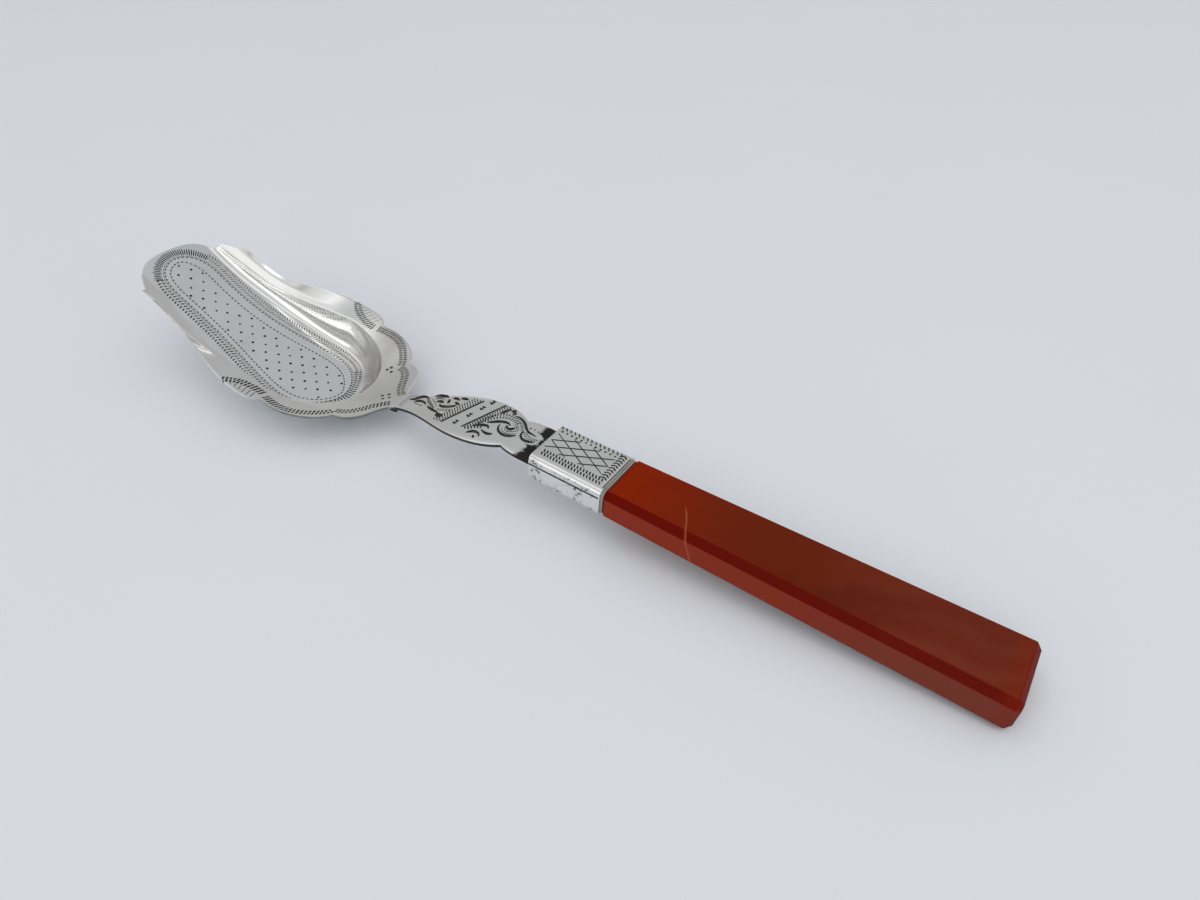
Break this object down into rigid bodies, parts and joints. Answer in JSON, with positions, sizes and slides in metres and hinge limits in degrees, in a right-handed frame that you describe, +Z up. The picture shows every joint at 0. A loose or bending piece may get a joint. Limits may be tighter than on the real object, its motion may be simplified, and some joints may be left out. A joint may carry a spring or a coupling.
{
  "type": "sugar scoop",
  "caption": "Silver sugar scoop: open shovel bowl with a lobed flange, leaf-shaped engraved stem, ferrule and polished red agate bar handle.",
  "frame": {"origin": "middle of the scoop's bounding box, at table height", "axes": "+X from the bowl's open front to the handle's tail, +Z up from the table, Y across; the scoop lies as it rests"},
  "size_m": [0.1758, 0.035, 0.0199],
  "materials": {
    "silver": "polished silver with darkened engraving",
    "agate": "polished red agate with soft banding",
    "cement": "matte"
  },
  "bodies": {
    "root": {"scoop_bowl": "silver", "stem": "silver", "ferrule_sleeve": "silver", "ferrule_front_plate": "silver", "tang_pin": "silver", "handle_cement": "cement", "agate_handle": "agate"}
  },
  "joints": []
}
